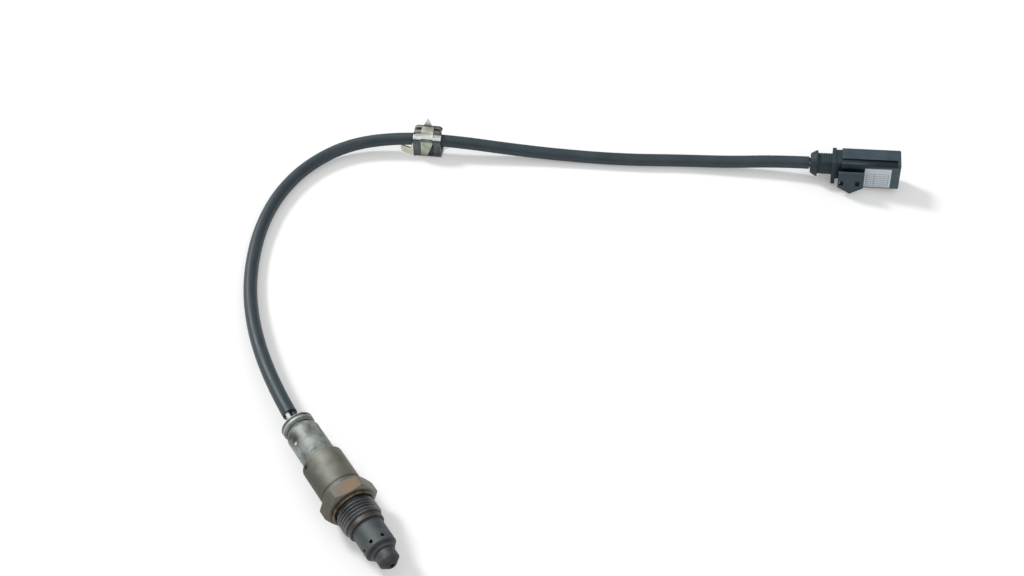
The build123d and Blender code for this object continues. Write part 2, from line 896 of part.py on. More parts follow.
def wire_seal():
    """Rubber block in the cap's neck, round the four leads."""
    size = cap_bore_size - 2 * press_gap
    start = flange_front - seal_block_length
    body = rounded_bar(start, flange_front, size, size, cap_bore_round)
    for _, across, up in lead_places():
        place = plug_section(start) * Pos(across * pin_pitch / 2, up * pin_pitch / 2, 0)
        body -= place * extrude(Circle(lead_diameter / 2), flange_front - start)
    return plug_place() * body


def housing_bracket():
    """Slide-on bracket moulded on the plug's front: a pointed plate on two end webs."""
    top = plug_height - bracket_drop
    outline = make_face(Polyline(
        (bracket_rear, bracket_shoulder_height),
        (bracket_rear, top),
        (bracket_front, top),
        (bracket_front, bracket_shoulder_height),
        ((bracket_rear + bracket_front) / 2, 0),
        close=True,
    ))
    plate = Pos(0, bracket_face, 0) * extrude(Plane.XZ * outline, bracket_thickness)
    first_window = bracket_rear + bracket_window_rear
    for s in (first_window, first_window + bracket_window_pitch):
        window = Pos(s, bracket_face - bracket_thickness / 2, bracket_window_middle)
        plate -= window * Box(bracket_window_width, 2 * bracket_thickness, bracket_window_height)
    web_top = top - bracket_web_drop
    web_height = web_top - bracket_shoulder_height
    webs = []
    for s in (block_front + bracket_web / 2, bracket_front - bracket_web / 2):
        place = Pos(s, bracket_face + bracket_offset / 2, web_top - web_height / 2)
        webs.append(place * Box(bracket_web, bracket_offset + 2 * press_gap, web_height))
    return [plate] + webs


def plug_housing():
    """Moulded plug shell: open mouth, grooved top, and the bracket on its front."""
    middle = Pos((block_front + plug_front) / 2, 0, plug_height / 2)
    shell = middle * Box(plug_length, plug_depth, plug_height)
    shell = fillet(shell.edges().filter_by(Axis.X), plug_edge_round)
    shell = chamfer(shell.faces().sort_by(Axis.X)[-1].edges(), plug_edge_round / 2)
    groove_end = plug_front - rim_band_length
    groove_middle = -plug_depth / 2 + top_groove_front_land + top_groove_width / 2
    groove = Pos((block_front + groove_end) / 2, groove_middle, plug_height)
    shell -= groove * Box(groove_end - block_front, top_groove_width, 2 * top_groove_depth)
    mouth = Pos((cavity_rear + plug_front) / 2, 0, plug_wall + mouth_height / 2)
    shell -= mouth * Box(plug_front - cavity_rear, mouth_depth, mouth_height)
    hole_size = cap_neck_size + 2 * press_gap
    shell -= rounded_bar(block_front, cavity_rear, hole_size, hole_size, cap_neck_round)
    return plug_place() * (shell + housing_bracket())


def terminal_block():
    """Insert at the bottom of the mouth that carries the four pins."""
    place = Pos((cavity_rear + terminal_front) / 2, 0, plug_wall + mouth_height / 2)
    block = place * Box(block_length, mouth_depth - 2 * press_gap, mouth_height - 2 * press_gap)
    for _, across, up in lead_places():
        hole = plug_section(cavity_rear) * Pos(across * pin_pitch / 2, up * pin_pitch / 2, 0)
        block -= hole * extrude(Circle(lead_diameter / 2 + press_gap), block_entry)
        block -= hole * Pos(0, 0, block_entry) * extrude(
            Rectangle(pin_size, pin_size), block_length - block_entry
        )
    return plug_place() * block


def plug_pins():
    """Four square pins that stand in the mouth, with tapered ends."""
    pins = []
    start = cavity_rear + block_entry
    length = terminal_front + pin_reach - start
    for _, across, up in lead_places():
        place = plug_section(start) * Pos(across * pin_pitch / 2, up * pin_pitch / 2, length / 2)
        pin = Box(pin_size, pin_size, length)
        pin = chamfer(pin.faces().sort_by(Axis.Z)[-1].edges(), pin_size / 4)
        pins.append(plug_place() * place * pin)
    return Compound(children=pins)


def plug_label():
    """Blank paper label on the plug's front, beside the bracket."""
    start = bracket_front + label_from_bracket
    place = Pos(
        start + label_length / 2,
        -plug_depth / 2 - label_sheet / 2,
        label_from_bottom + label_height / 2,
    )
    return plug_place() * place * Box(label_length, label_sheet, label_height)


pieces = {
    "hex_housing": hex_housing(),
    "seal_ring": seal_ring(),
    "outer_tube": outer_tube(),
    "inner_tube": inner_tube(),
    "sensing_element": sensing_element(),
    "front_insulator": front_insulator(),
    "powder_seal": powder_seal(),
    "rear_insulator": rear_insulator(),
    "clamping_ring": clamping_ring(),
    "lower_sleeve": lower_sleeve(),
    "upper_sleeve": upper_sleeve(),
    "contact_holder_upper": contact_holder(1),
    "contact_holder_lower": contact_holder(-1),
    "holder_band": holder_band(),
    "contact_springs": contact_springs(),
    "crimp_sleeves": crimp_sleeves(),
    "wire_grommet": wire_grommet(),
    "cable_hose": cable_hose(),
    "cable_clip": cable_clip(),
    "plug_boot": plug_boot(),
    "plug_rear_cap": plug_rear_cap(),
    "wire_seal": wire_seal(),
    "plug_housing": plug_housing(),
    "terminal_block": terminal_block(),
    "plug_pins": plug_pins(),
    "plug_label": plug_label(),
}
for lead_name, lead_across, lead_up in lead_places():
    pieces[lead_name] = lead(lead_across, lead_up)

os.makedirs("parts", exist_ok=True)
for name, shape in pieces.items():
    export_step(shape, f"parts/{name}.step")
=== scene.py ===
import math

import bmesh
import bpy
from mathutils import Matrix, Vector


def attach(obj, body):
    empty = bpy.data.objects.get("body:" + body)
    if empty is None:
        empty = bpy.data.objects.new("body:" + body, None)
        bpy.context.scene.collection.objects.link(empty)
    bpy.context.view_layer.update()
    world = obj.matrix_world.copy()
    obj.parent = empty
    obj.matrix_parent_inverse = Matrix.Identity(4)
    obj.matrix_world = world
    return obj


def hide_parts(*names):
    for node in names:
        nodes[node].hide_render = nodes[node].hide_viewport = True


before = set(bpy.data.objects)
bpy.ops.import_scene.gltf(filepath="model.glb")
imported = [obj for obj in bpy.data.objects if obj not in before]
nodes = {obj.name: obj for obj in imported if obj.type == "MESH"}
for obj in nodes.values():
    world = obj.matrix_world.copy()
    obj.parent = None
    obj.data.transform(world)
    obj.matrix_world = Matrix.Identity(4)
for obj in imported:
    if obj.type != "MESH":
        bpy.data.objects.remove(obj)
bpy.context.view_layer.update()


# Camera: it looks down on the table from in front of the sensor, with the plug at the right.
# Its place and its image directions are in the part's own frame, and its lens is for a 36 mm film.
camera_place = Vector((0.2671, -0.1015, 0.4429))
camera_right = Vector((0.55504, 0.83182, 0.0))
camera_up = Vector((-0.61132, 0.40791, 0.67816))
camera_lens = 43.24
camera_film = 36

camera_data = bpy.data.cameras.new("camera")
camera_data.sensor_width = camera_film
camera_data.lens = camera_lens
camera = bpy.data.objects.new("camera", camera_data)
camera_back = camera_right.cross(camera_up)
camera.matrix_world = (
    Matrix.Translation(camera_place)
    @ Matrix((camera_right, camera_up, camera_back)).transposed().to_4x4()
)
bpy.context.scene.collection.objects.link(camera)
bpy.context.scene.camera = camera


# Hose: the smooth rubber skin that holds the four leads from the sensor to the plug, 6.8 mm thick.
# It leaves the sensor straight, bends round to the right on the table and is lifted at clip and plug.
# The points of its route are in millimetres, and mm turns a size in millimetres into metres.
mm = 0.001
hose_diameter = 6.8 * mm
hose_dark = (0.018, 0.034, 0.044)
hose_light = (0.030, 0.052, 0.065)
hose_route = [
    (-64.0, 0.0, 0.0),
    (-82.0, 1.2, -0.7),
    (-113.5, 7.0, -3.4),
    (-142.5, 16.5, -6.2),
    (-166.0, 28.5, -7.5),
    (-187.5, 44.0, -7.5),
    (-205.5, 63.5, -7.5),
    (-217.0, 87.0, -7.2),
    (-218.0, 113.5, -5.6),
    (-203.5, 139.0, -2.6),
    (-183.0, 163.0, -2.6),
    (-163.0, 187.5, -5.8),
    (-143.5, 211.0, -7.4),
    (-124.0, 234.5, -7.5),
    (-107.0, 259.0, -7.5),
    (-89.6, 280.2, -6.3),
    (-74.2, 300.6, -4.31),
    (-62.25, 312.55, -2.53),
]


def start_finish(name, colour, roughness, metallic=0.0):
    """Begins one finish: a material whose shader already has the flat values, ready for its pattern."""
    material = bpy.data.materials.new(name)
    material.use_nodes = True
    tree = material.node_tree
    shader = tree.nodes["Principled BSDF"]
    shader.inputs["Base Color"].default_value = (*colour, 1)
    shader.inputs["Roughness"].default_value = roughness
    shader.inputs["Metallic"].default_value = metallic
    return material, tree, shader


def lay_pattern(tree, scale=(1, 1, 1), turn=(0, 0, 0), shift=(0, 0, 0)):
    """Place on the piece, in metres, turned, moved and stretched, for a pattern to follow."""
    place = tree.nodes.new("ShaderNodeTexCoord")
    mapping = tree.nodes.new("ShaderNodeMapping")
    mapping.vector_type = "POINT"
    mapping.inputs["Scale"].default_value = scale
    mapping.inputs["Rotation"].default_value = turn
    mapping.inputs["Location"].default_value = shift
    tree.links.new(place.outputs["Object"], mapping.inputs["Vector"])
    return mapping.outputs["Vector"]


def speckle(tree, place, scale, detail=4.0, roughness=0.5):
    """Cloudy unevenness from 0 to 1, scale being its number of lumps in a metre."""
    noise = tree.nodes.new("ShaderNodeTexNoise")
    noise.inputs["Scale"].default_value = scale
    noise.inputs["Detail"].default_value = detail
    noise.inputs["Roughness"].default_value = roughness
    tree.links.new(place, noise.inputs["Vector"])
    return noise.outputs["Fac"]


def shade_between(tree, value, dark, light, low=0.3, high=0.7):
    """Colour that goes from a dark to a light one while a value goes from low to high."""
    ramp = tree.nodes.new("ShaderNodeValToRGB")
    for element, at, colour in zip(ramp.color_ramp.elements, (low, high), (dark, light)):
        element.position = at
        element.color = (*colour, 1)
    tree.links.new(value, ramp.inputs["Fac"])
    return ramp.outputs["Color"]


def spread(tree, value, low, high, from_low=0.3, from_high=0.7):
    """Stretches a value's usual range to the range from low to high."""
    node = tree.nodes.new("ShaderNodeMapRange")
    node.inputs["From Min"].default_value = from_low
    node.inputs["From Max"].default_value = from_high
    node.inputs["To Min"].default_value = low
    node.inputs["To Max"].default_value = high
    tree.links.new(value, node.inputs["Value"])
    return node.outputs["Result"]


def lay_finish(tree, shader, colour, roughness=None):
    """Gives the shader a colour, and a roughness if there is one, that differ from place to place."""
    tree.links.new(colour, shader.inputs["Base Color"])
    if roughness is not None:
        tree.links.new(roughness, shader.inputs["Roughness"])


def emboss(tree, shader, height, depth):
    """Lets a pattern's height, in a depth given in millimetres, catch the light."""
    bump = tree.nodes.new("ShaderNodeBump")
    bump.inputs["Strength"].default_value = 1.0
    bump.inputs["Distance"].default_value = depth * mm
    tree.links.new(height, bump.inputs["Height"])
    tree.links.new(bump.outputs["Normal"], shader.inputs["Normal"])


def hose_rubber():
    """Blue-black rubber with a soft sheen, faint clouding and a fine skin."""
    material, tree, shader = start_finish("hose_rubber", hose_light, 0.5)
    place = lay_pattern(tree)
    cloud = speckle(tree, place, 90)
    colour = shade_between(tree, cloud, hose_dark, hose_light)
    lay_finish(tree, shader, colour, spread(tree, cloud, 0.42, 0.56))
    emboss(tree, shader, speckle(tree, place, 2600), 0.04)
    return material


hose_curve = bpy.data.curves.new("hose_skin", "CURVE")
hose_curve.dimensions = "3D"
hose_curve.bevel_depth = hose_diameter / 2
hose_curve.bevel_resolution = 8
hose_curve.use_fill_caps = True
hose_line = hose_curve.splines.new("NURBS")
hose_line.points.add(len(hose_route) - 1)
for point, (x, y, z) in zip(hose_line.points, hose_route):
    point.co = (x * mm, y * mm, z * mm, 1)
hose_line.order_u = 3
hose_line.use_endpoint_u = True
hose_line.resolution_u = 16
hose_curve.materials.append(hose_rubber())
hose = bpy.data.objects.new("hose_skin", hose_curve)
bpy.context.scene.collection.objects.link(hose)
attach(hose, "root")
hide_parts("cable_hose")


# Table, lamps and room: a white table top, a lamp at the upper left of the view, a weaker one in front
# at the right, and a room that is grey for the metal to mirror and white where it is looked at.
table_height = -11.0 * mm
table_size = 6.0
table_white = 0.73
table_lift = 0.26
room_high = 0.70
room_low = 0.08
room_high_from = 0.9
view_middle = Vector((-0.08, 0.15, 0.0))
view_left = -camera_right
view_away = Vector((camera_up.x, camera_up.y, 0)).normalized()
key_place = view_middle + view_left * 2.9 + view_away * 2.2 + Vector((0, 0, 3.0))
key_size = 0.9
key_power = 150.0
fill_place = view_middle - view_left * 0.8 - view_away * 1.4 + Vector((0, 0, 1.3))
fill_size = 1.4
fill_power = 9.0


def table_paint():
    """White table top that keeps shadows, lifted to the photograph's white where it is looked at."""
    material, tree, shader = start_finish("table_white", (table_white,) * 3, 0.9)
    shader.inputs["Specular IOR Level"].default_value = 0.0
    rays = tree.nodes.new("ShaderNodeLightPath")
    seen = tree.nodes.new("ShaderNodeMath")
    seen.operation = "MAXIMUM"
    tree.links.new(rays.outputs["Is Camera Ray"], seen.inputs[0])
    tree.links.new(rays.outputs["Is Glossy Ray"], seen.inputs[1])
    strength = tree.nodes.new("ShaderNodeMath")
    strength.operation = "MULTIPLY"
    strength.inputs[1].default_value = table_lift
    tree.links.new(seen.outputs[0], strength.inputs[0])
    shader.inputs["Emission Color"].default_value = (1, 1, 1, 1)
    tree.links.new(strength.outputs[0], shader.inputs["Emission Strength"])
    return material


table_mesh = bpy.data.meshes.new("table_top")
half = table_size / 2
table_mesh.from_pydata(
    [(-half, -half, table_height), (half, -half, table_height),
     (half, half, table_height), (-half, half, table_height)],
    [], [(0, 1, 2, 3)],
)
table_mesh.materials.append(table_paint())
table_top = bpy.data.objects.new("table_top", table_mesh)
bpy.context.scene.collection.objects.link(table_top)


def hang_lamp(name, place, size, power):
    """Square soft lamp aimed at the middle of the view."""
    data = bpy.data.lights.new(name, "AREA")
    data.size = size
    data.energy = power
    lamp = bpy.data.objects.new(name, data)
    aim = (view_middle - place).to_track_quat("-Z", "Y")
    lamp.matrix_world = Matrix.Translation(place) @ aim.to_matrix().to_4x4()
    bpy.context.scene.collection.objects.link(lamp)


hang_lamp("key_lamp", key_place, key_size, key_power)
hang_lamp("fill_lamp", fill_place, fill_size, fill_power)

room = bpy.data.worlds.new("room")
room.use_nodes = True
room_tree = room.node_tree
room_split = room_tree.nodes.new("ShaderNodeSeparateXYZ")
room_place = room_tree.nodes.new("ShaderNodeTexCoord")
room_tree.links.new(room_place.outputs["Generated"], room_split.inputs[0])
room_rays = room_tree.nodes.new("ShaderNodeLightPath")
room_view = room_tree.nodes.new("ShaderNodeMix")
room_view.data_type = "RGBA"
room_view.inputs["B"].default_value = (1, 1, 1, 1)
room_tree.links.new(room_rays.outputs["Is Camera Ray"], room_view.inputs["Factor"])
room_shade = shade_between(
    room_tree, room_split.outputs["Z"], (room_low,) * 3, (room_high,) * 3, 0.0, room_high_from
)
room_tree.links.new(room_shade, room_view.inputs["A"])
room_tree.links.new(room_view.outputs["Result"], room_tree.nodes["Background"].inputs["Color"])
bpy.context.scene.world = room
bpy.context.scene.view_settings.view_transform = "Standard"


# Housing: one steel turning with a 22 mm hexagon, an M18 stem with a rolled 1.5 mm thread, a stub that
# grips the tubes and a tail for the sleeve. Exhaust heat has tinted its flats orange brown.
hex_half = 11.0
hex_front = -6.0
hex_rear = -12.5
hex_face_radius = 10.8
hex_corner_cut = 0.12
hex_chamfer = math.tan(math.radians(30))
neck_radius = 8.1
stub_radius = 8.3
thread_radius = 9.0
thread_half = 3.9
thread_margin = 0.05
thread_run_in = 1.3
thread_pitch = 1.5
thread_depth = 0.92
thread_root = 0.125
thread_flank = 0.625
thread_rows = 22
shell_tail = [
    (-24.2, 6.1, 0), (-24.2, 5.0, 0.1), (-25.2, 5.0, 0.1), (-25.2, 7.0, 0.1), (-24.6, 7.6, 0.2),
    (-19.3, 7.6, 0.1), (-18.8, 8.7, 0.1), (-14.3, 8.7, 0), (-14.3, 9.9, 0.3), (-12.5, 9.9, 0),
]
shell_stub = [
    (3.9, 8.3, 0), (3.9, 7.8, 0.1), (5.0, 7.8, 0.1), (5.0, 8.1, 0.1), (6.6, 8.1, 0.15),
    (6.9, 7.8, 0.15), (6.9, 7.1, 0.1), (3.9, 7.1, 0), (3.9, 4.1, 0), (-1.0, 4.1, 0),
    (-1.0, 6.1, 0),
]
steel_dark = (0.172, 0.171, 0.157)
steel_light = (0.298, 0.289, 0.260)
# Painted light on the housing's right side and painted olive shade on its left side.
right_side_painted_light = (0.250, 0.262, 0.245)
left_side_painted_shade = (0.184, 0.177, 0.144)
side_start = 5.5
side_full = 8.0
tint_orange = (0.345, 0.212, 0.132)
tint_along = (-8.8, 5.0)
tint_across = (1.8, 9.0)
tint_above = (hex_half - 1.6, hex_half - 0.1)
stem_dark = (0.115, 0.122, 0.126)
stem_light = (0.240, 0.248, 0.252)
stem_start = -5.6
stem_full = -5.0
stub_brown = (0.104, 0.099, 0.095)
stub_start = 3.6
stub_full = 4.1
hex_dullness = 0.16
shell_sharp_from = 24
side_share = 0.48


def soften(corners, arc_steps=4):
    """Outline in millimetres from corners given as (x, radius, rounding), each rounded by an arc.

    An arc takes up at most just under half of the shorter side that it joins, so arcs never meet.
    """
    outline = []
    for index, (x, y, rounding) in enumerate(corners):
        here = Vector((x, y))
        back = Vector(corners[index - 1][:2]) - here
        ahead = Vector(corners[(index + 1) % len(corners)][:2]) - here
        if rounding == 0 or back.length == 0 or ahead.length == 0:
            outline.append((x, y))
            continue
        opening = back.angle(ahead)
        limit = side_share * min(back.length, ahead.length)
        reach = min(rounding / math.tan(opening / 2), limit)
        start = here + back.normalized() * reach
        end = here + ahead.normalized() * reach
        for step in range(arc_steps + 1):
            t = step / arc_steps
            point = start * (1 - t) ** 2 + here * 2 * t * (1 - t) + end * t ** 2
            outline.append((point.x, point.y))
    return outline


def close_rows(outline, spacing):
    """The same outline with points added, so that none are further apart than the spacing."""
    dense = []
    for index, (x, y) in enumerate(outline):
        following = outline[(index + 1) % len(outline)]
        pieces = max(1, math.ceil(math.dist((x, y), following) / spacing))
        for piece in range(pieces):
            t = piece / pieces
            dense.append((x + (following[0] - x) * t, y + (following[1] - y) * t))
    return dense


def add_piece(name, mesh, material, slot, *replaced):
    """Puts a finished mesh in the scene as one visible piece, in place of the solids it stands for."""
    mesh.materials.clear()
    mesh.materials.append(material)
    piece = bpy.data.objects.new(name, mesh)
    bpy.context.scene.collection.objects.link(piece)
    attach(piece, "root")
    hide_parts(*replaced)


def smooth_mesh(mesh, sharp_from=30):
    """Outward faces, smooth except where two of them meet at more than an angle in degrees."""
    shape = bmesh.new()
    shape.from_mesh(mesh)
    bmesh.ops.remove_doubles(shape, verts=shape.verts, dist=0.000001)
    bmesh.ops.recalc_face_normals(shape, faces=shape.faces)
    shape.to_mesh(mesh)
    shape.free()
    mesh.shade_smooth()
    mesh.set_sharp_from_angle(angle=math.radians(sharp_from))


def turn_mesh(name, outline_at, steps=128, sharp_from=30):
    """Mesh turned about the sensor's axis, its closed outline in millimetres given for each angle."""
    mesh = bpy.data.meshes.new(name)
    points = []
    for step in range(steps):
        angle = math.tau * step / steps
        outline = outline_at(angle)
        points += [
            (x * mm, r * math.sin(angle) * mm, r * math.cos(angle) * mm) for x, r in outline
        ]
    rows = len(outline)
    faces = [
        (
            step * rows + row,
            step * rows + (row + 1) % rows,
            (step + 1) % steps * rows + (row + 1) % rows,
            (step + 1) % steps * rows + row,
        )
        for step in range(steps)
        for row in range(rows)
    ]
    mesh.from_pydata(points, [], faces)
    smooth_mesh(mesh, sharp_from)
    return mesh


def hexagon_radius(angle):
    """Distance from the axis to the hexagon's side, its corners very slightly cut."""
    from_flat = (angle + math.pi / 6) % (math.pi / 3) - math.pi / 6
    corner = hex_half / math.cos(math.pi / 6) - hex_corner_cut
    return min(hex_half / math.cos(from_flat), corner)


def shell_outline(angle):
    """Outline of the housing at one angle, with the hexagon's chamfers where they fall there."""
    radius = hexagon_radius(angle)
    rise = max(radius - hex_face_radius, 0) * hex_chamfer
    hexagon = [
        (hex_rear, min(hex_face_radius, radius)), (hex_rear + rise, radius),
        (hex_front - rise, radius), (hex_front, min(hex_face_radius, radius)),
    ]
    return shell_rear + hexagon + shell_front


def cut_thread(piece):
    """Cuts the rolled thread into the stem with nodes: each row goes in as deep as its turn says."""
    group = bpy.data.node_groups.new("rolled_thread", "GeometryNodeTree")
    group.interface.new_socket("Geometry", in_out="INPUT", socket_type="NodeSocketGeometry")
    values = {
        "Pitch": thread_pitch * mm,
        "Depth": thread_depth * mm,
        "Crest radius": thread_radius * mm,
        "Half length": (thread_half + thread_margin) * mm,
    }
    sockets = {
        name: group.interface.new_socket(name, in_out="INPUT", socket_type="NodeSocketFloat")
        for name in values
    }
    group.interface.new_socket("Geometry", in_out="OUTPUT", socket_type="NodeSocketGeometry")
    add = group.nodes.new
    link = group.links.new
    given = add("NodeGroupInput")
    result = add("NodeGroupOutput")

    def work(kind, first, second=None, clamp=False):
        node = add("ShaderNodeMath")
        node.operation = kind
        node.use_clamp = clamp
        for socket, value in zip(node.inputs, (first, second)):
            if isinstance(value, (int, float)):
                socket.default_value = value
            elif value is not None:
                link(value, socket)
        return node.outputs[0]

    split = add("ShaderNodeSeparateXYZ")
    link(add("GeometryNodeInputPosition").outputs[0], split.inputs[0])
    x, y, z = split.outputs
    radius = work("SQRT", work("ADD", work("MULTIPLY", y, y), work("MULTIPLY", z, z)))
    turned = work("DIVIDE", work("ARCTAN2", y, z), math.tau)
    turns = work("SUBTRACT", work("DIVIDE", x, given.outputs["Pitch"]), turned)
    from_root = work("ABSOLUTE", work("SUBTRACT", work("MULTIPLY", work("FRACT", turns), 2), 1))
    flank = work("DIVIDE", work("SUBTRACT", from_root, thread_root), thread_flank, clamp=True)
    cut = work("MULTIPLY", flank, given.outputs["Depth"])
    limit = work("SUBTRACT", given.outputs["Crest radius"], cut)
    shrink = work("DIVIDE", work("MINIMUM", radius, limit), radius)
    join = add("ShaderNodeCombineXYZ")
    link(x, join.inputs[0])
    link(work("MULTIPLY", y, shrink), join.inputs[1])
    link(work("MULTIPLY", z, shrink), join.inputs[2])
    on_stem = work("LESS_THAN", work("ABSOLUTE", x), given.outputs["Half length"])
    move = add("GeometryNodeSetPosition")
    link(given.outputs["Geometry"], move.inputs["Geometry"])
    link(on_stem, move.inputs["Selection"])
    link(join.outputs[0], move.inputs["Position"])
    real = add("GeometryNodeRealizeInstances")
    link(move.outputs[0], real.inputs[0])
    finish = add("GeometryNodeSetMaterial")
    finish.inputs["Material"].default_value = piece.data.materials[0]
    link(real.outputs[0], finish.inputs["Geometry"])
    link(finish.outputs[0], result.inputs[0])
    modifier = piece.modifiers.new("rolled_thread", "NODES")
    modifier.node_group = group
    for name, value in values.items():
        modifier[sockets[name].identifier] = value


def bake(piece):
    """Turns a piece's modifiers into its own mesh."""
    bpy.context.view_layer.update()
    seen = piece.evaluated_get(bpy.context.evaluated_depsgraph_get())
    mesh = bpy.data.meshes.new_from_object(seen)
    piece.modifiers.clear()
    piece.data = mesh
    return mesh


def axis_value(tree, place, axis):
    """One coordinate of a place."""
    split = tree.nodes.new("ShaderNodeSeparateXYZ")
    tree.links.new(place, split.inputs[0])
    return split.outputs["XYZ".index(axis)]


def blend_colours(tree, factor, first, second):
    """Colour between two others, each a socket or an RGB triple."""
    mix = tree.nodes.new("ShaderNodeMix")
    mix.data_type = "RGBA"
    tree.links.new(factor, mix.inputs["Factor"])
    for socket, colour in ((mix.inputs["A"], first), (mix.inputs["B"], second)):
        if isinstance(colour, tuple):
            socket.default_value = (*colour, 1)
        else:
            tree.links.new(colour, socket)
    return mix.outputs["Result"]


def combine(tree, kind, first, second):
    """Two values worked into one, either of them a socket or a number."""
    node = tree.nodes.new("ShaderNodeMath")
    node.operation = kind
    for socket, value in zip(node.inputs, (first, second)):
        if isinstance(value, (int, float)):
            socket.default_value = value
        else:
            tree.links.new(value, socket)
    return node.outputs[0]


def beyond(tree, value, start, full):
    """0 before the start and 1 past where it is full, in millimetres, whichever way the two lie."""
    node = tree.nodes.new("ShaderNodeMapRange")
    node.interpolation_type = "SMOOTHSTEP"
    node.inputs["From Min"].default_value = start * mm
    node.inputs["From Max"].default_value = full * mm
    tree.links.new(value, node.inputs["Value"])
    return node.outputs["Result"]


def near(tree, value, middle, width):
    """1 where a value is at the middle, falling smoothly to 0 at the width on either side."""
    away = combine(tree, "ABSOLUTE", combine(tree, "SUBTRACT", value, middle * mm), 0)
    return beyond(tree, away, width, 0)


def all_of(tree, *masks):
    """1 only where every one of the masks is 1."""
    together = masks[0]
    for mask in masks[1:]:
        together = combine(tree, "MULTIPLY", together, mask)
    return together


def paint_area(tree, place, under, over, edges, strength=None):
    """Lays one colour over another inside the edges of an area, as strongly as a mask allows.

    An edge is an axis and, in millimetres, where the colour starts to show and where it is full.
    """
    masks = [
        beyond(tree, axis_value(tree, place, axis), start, full) for axis, start, full in edges
    ]
    if strength is not None:
        masks.append(strength)
    return blend_colours(tree, all_of(tree, *masks), under, over)


def shell_steel():
    """Turned steel: orange-brown heat tint on the top flat, painted light right and shade left,
    blue-grey thread, fine turning lines.
    """
    material, tree, shader = start_finish("shell_steel", steel_light, 0.42, 1.0)
    place = lay_pattern(tree)
    x, y, z = (axis_value(tree, place, axis) for axis in "XYZ")
    cloud = speckle(tree, place, 160)
    grey = shade_between(tree, cloud, steel_dark, steel_light, 0.32, 0.68)
    grey = paint_area(tree, place, grey, right_side_painted_light, [("Y", side_start, side_full)])
    grey = paint_area(tree, place, grey, left_side_painted_shade, [("Y", -side_start, -side_full)])
    tinted = all_of(
        tree, near(tree, x, *tint_along), near(tree, y, *tint_across), beyond(tree, z, *tint_above),
        spread(tree, cloud, 0.55, 1.0),
    )
    warm = blend_colours(tree, tinted, grey, tint_orange)
    cool = shade_between(tree, cloud, stem_dark, stem_light)
    on_stem = spread(tree, x, 0, 1, stem_start * mm, stem_full * mm)
    on_stub = spread(tree, x, 0, 1, stub_start * mm, stub_full * mm)
    colour = blend_colours(tree, on_stem, warm, cool)
    colour = blend_colours(tree, on_stub, colour, stub_brown)
    duller = combine(tree, "MULTIPLY", beyond(tree, x, stem_full, stem_start), hex_dullness)
    roughness = combine(tree, "ADD", spread(tree, cloud, 0.46, 0.62), duller)
    lay_finish(tree, shader, colour, roughness)
    emboss(tree, shader, speckle(tree, lay_pattern(tree, scale=(9, 1, 1)), 700, 2.0), 0.03)
    return material


def stem_radius(x):
    """Radius of the stem before its thread is cut, narrower where it meets the neck and the stub."""
    run_in = neck_radius + (thread_half + x) * thread_run_in
    run_out = stub_radius + thread_half - x
    return min(thread_radius, run_in, run_out)


shell_rear = soften(shell_tail)
thread_steps = round(2 * thread_half / thread_pitch * thread_rows)
thread_places = [thread_half * (2 * step / thread_steps - 1) for step in range(thread_steps + 1)]
shell_front = [(hex_front, neck_radius), (-thread_half, neck_radius)]
shell_front += [(x, stem_radius(x)) for x in thread_places[1:-1]]
shell_front += soften(shell_stub)
shell_mesh = turn_mesh("sensor_shell", shell_outline, 192, shell_sharp_from)
shell_mesh.materials.append(shell_steel())
shell_blank = bpy.data.objects.new("shell_blank", shell_mesh)
bpy.context.scene.collection.objects.link(shell_blank)
cut_thread(shell_blank)
threaded_mesh = bake(shell_blank)
threaded_mesh.set_sharp_from_angle(angle=math.radians(shell_sharp_from))
bpy.data.objects.remove(shell_blank)
add_piece("sensor_shell", threaded_mesh, threaded_mesh.materials[0], "shell_steel", "hex_housing")


# Seal ring: a strip of soft steel folded over itself and pressed on the stem, with dull gold plating.
# Its rounded folds face outwards and its open slit faces the stem.
ring_rear = -6.0
ring_thickness = 1.6
ring_inner = 8.4
ring_outer = 9.9
ring_sheet = 0.3
ring_lead_in = 0.75
ring_lead_in_depth = 0.25
ring_slit_depth = 0.9
ring_dark = (0.085, 0.073, 0.052)
ring_light = (0.240, 0.200, 0.130)
ring_outline = soften([
    (ring_rear + ring_lead_in_depth, ring_inner, 0.1), (ring_rear, ring_inner + ring_lead_in, 0.3),
    (ring_rear, ring_outer, 0.5), (ring_rear + ring_thickness, ring_outer, 0.5),
    (ring_rear + ring_thickness, ring_inner + ring_lead_in, 0.3),
    (ring_rear + ring_thickness - ring_lead_in_depth, ring_inner, 0.1),
    (ring_rear + ring_thickness - 2 * ring_sheet, ring_inner, 0),
    (ring_rear + ring_thickness - 2 * ring_sheet, ring_inner + ring_slit_depth, 0.05),
    (ring_rear + 2 * ring_sheet, ring_inner + ring_slit_depth, 0.05),
    (ring_rear + 2 * ring_sheet, ring_inner, 0),
], 6)


def ring_metal():
    """Dull gold plating, browned in patches."""
    material, tree, shader = start_finish("ring_gold", ring_light, 0.40, 1.0)
    cloud = speckle(tree, lay_pattern(tree), 420)
    colour = shade_between(tree, cloud, ring_dark, ring_light)
    lay_finish(tree, shader, colour, spread(tree, cloud, 0.34, 0.50))
    return material


ring_mesh = turn_mesh("folded_seal_ring", lambda angle: ring_outline, 144)
add_piece("folded_seal_ring", ring_mesh, ring_metal(), "seal_metal", "seal_ring")


# Protection tubes: two drawn steel cups, one in the other, held in the stub. The outer one has eight
# gas holes and the nose of the inner one stands out of it. Exhaust gas has left both matt and grey.
tube_corner = (19.4, 1.3)
tube_dark = (0.100, 0.113, 0.120)
tube_light = (0.160, 0.175, 0.183)
tube_shadow = (0.062, 0.066, 0.072)
nose_dark = (0.088, 0.092, 0.095)
nose_light = (0.138, 0.143, 0.147)
# The nose is darker towards its end.
nose_end_dark = (0.066, 0.070, 0.072)
end_dark_start = 24.6
end_dark_full = 27.2


